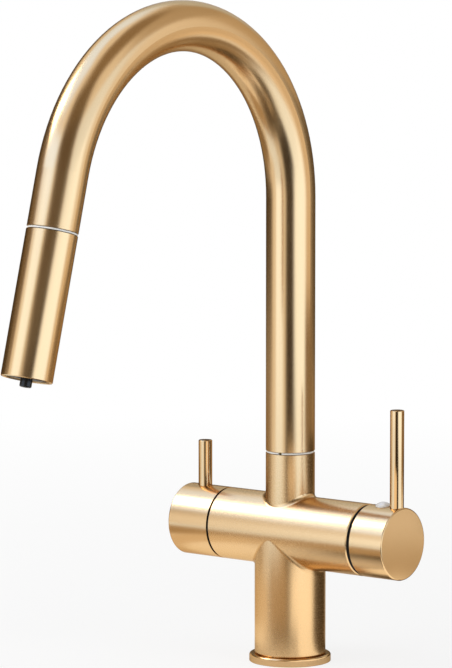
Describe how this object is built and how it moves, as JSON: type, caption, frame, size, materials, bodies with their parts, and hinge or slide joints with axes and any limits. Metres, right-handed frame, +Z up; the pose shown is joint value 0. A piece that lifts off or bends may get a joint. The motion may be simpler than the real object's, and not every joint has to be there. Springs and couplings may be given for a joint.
{
  "type": "pull-out kitchen mixer tap",
  "caption": "Brushed gold kitchen mixer tap with a swivelling gooseneck spout, a pull-out spray head, a side mixer lever and a separate lever for filtered water.",
  "frame": {"origin": "middle of the base flange's underside, on the worktop", "axes": "+Z up along the column, spout reaching towards -Y, mixer arm towards +X, filtered-water arm towards -X"},
  "size_m": [0.1638, 0.2835, 0.4075],
  "materials": {
    "brushed_gold": "satin brushed gold coating",
    "polished_gold": "bright gold coating",
    "white_nylon": "natural nylon",
    "index_white": "glossy moulded plug",
    "black_plastic": "moulded black acetal",
    "black_rubber": "matt moulded rubber",
    "raw_brass": "turned, uncoated",
    "copper_pipe": "drawn copper",
    "braided_hose": "grey nylon braid",
    "clear_tube": "natural polyethylene",
    "grey_plastic": "moulded acetal",
    "ceramic": "lapped alumina ceramic",
    "steel": "stainless"
  },
  "bodies": {
    "tap_body": {"body_casting": "brushed_gold", "base_flange": "brushed_gold", "base_gasket": "black_rubber", "inlet_manifold": "raw_brass", "hot_feed_pipe": "copper_pipe", "cold_feed_pipe": "copper_pipe", "mixed_return_pipe": "copper_pipe", "filter_feed_pipe": "copper_pipe", "filter_return_pipe": "copper_pipe", "swivel_bush": "grey_plastic", "spout_slip_ring": "white_nylon", "neck_grub_screw": "steel", "cartridge_gasket": "black_rubber", "cartridge_housing": "grey_plastic", "fixed_ceramic_disc": "ceramic", "cartridge_cap": "grey_plastic", "cartridge_nut": "raw_brass", "mixer_cover_ring": "black_plastic", "filter_seat_seal": "black_rubber", "filter_headwork": "raw_brass", "filter_fixed_disc": "ceramic", "filter_cover_ring": "black_plastic"},
    "spout": {"spout_tube": "brushed_gold", "spout_spigot": "raw_brass", "spout_o_rings": "black_rubber", "dock_collar": "white_nylon", "pullout_hose": "braided_hose", "hose_filter_tube": "clear_tube", "hose_tail": "raw_brass"},
    "hose_end": {"hose_ferrule": "raw_brass"},
    "spray_head": {"head_shell": "brushed_gold", "head_core": "grey_plastic", "dock_o_ring": "black_rubber", "hose_swivel_nut": "raw_brass", "hose_seal": "black_rubber", "head_filter_tube": "clear_tube", "aerator_seal": "black_rubber", "aerator_housing": "grey_plastic", "aerator_insert": "grey_plastic", "aerator_screen": "steel", "filter_nozzle": "black_rubber"},
    "mixer_driver": {"cartridge_driver": "grey_plastic", "pivot_pin": "steel"},
    "mixer_disc": {"moving_ceramic_disc": "ceramic", "disc_carrier": "grey_plastic"},
    "mixer_handle": {"mixer_stem": "steel", "mixer_drum": "brushed_gold", "mixer_grub_screw": "steel", "index_plug": "index_white", "mixer_lever": "polished_gold"},
    "filter_handle": {"filter_moving_disc": "ceramic", "filter_spindle": "raw_brass", "spindle_o_ring": "black_rubber", "spindle_clip": "steel", "filter_drum": "brushed_gold", "filter_grub_screw": "steel", "filter_lever": "polished_gold"}
  },
  "joints": [
    {"name": "spout_swivel", "type": "hinge", "parent": "tap_body", "child": "spout", "pos_m": [0, 0, 0.1286], "axis": [0, 0, 1], "range_deg": [-180, 180]},
    {"name": "pull_out", "type": "slide", "parent": "spout", "child": "hose_end", "axis": [0, -0.2672, -0.9636], "range_m": [0, 0.18], "stiffness_N_per_m": 6, "springref_m": -1, "deforming": ["pullout_hose", "hose_filter_tube"]},
    {"name": "head_swivel", "type": "hinge", "parent": "hose_end", "child": "spray_head", "pos_m": [0, -0.22129, 0.28012], "axis": [0, -0.2672, -0.9636], "continuous": true},
    {"name": "mixer_temperature", "type": "hinge", "parent": "tap_body", "child": "mixer_driver", "pos_m": [0.0396, 0, 0.0805], "axis": [1, 0, 0], "range_deg": [-45, 45]},
    {"name": "mixer_flow", "type": "hinge", "parent": "mixer_driver", "child": "mixer_handle", "pos_m": [0.0396, 0, 0.0805], "axis": [0, 1, 0], "range_deg": [0, 20]},
    {"name": "disc_slide", "type": "slide", "parent": "mixer_driver", "child": "mixer_disc", "axis": [0, 0, 1], "range_m": [0, 0.0019]},
    {"name": "filter_open", "type": "hinge", "parent": "tap_body", "child": "filter_handle", "pos_m": [-0.0484, 0, 0.0805], "axis": [1, 0, 0], "range_deg": [0, 90]}
  ],
  "couplings": [
    {"joint": "disc_slide", "follows": "mixer_flow", "m_per_rad": 0.0054}
  ]
}
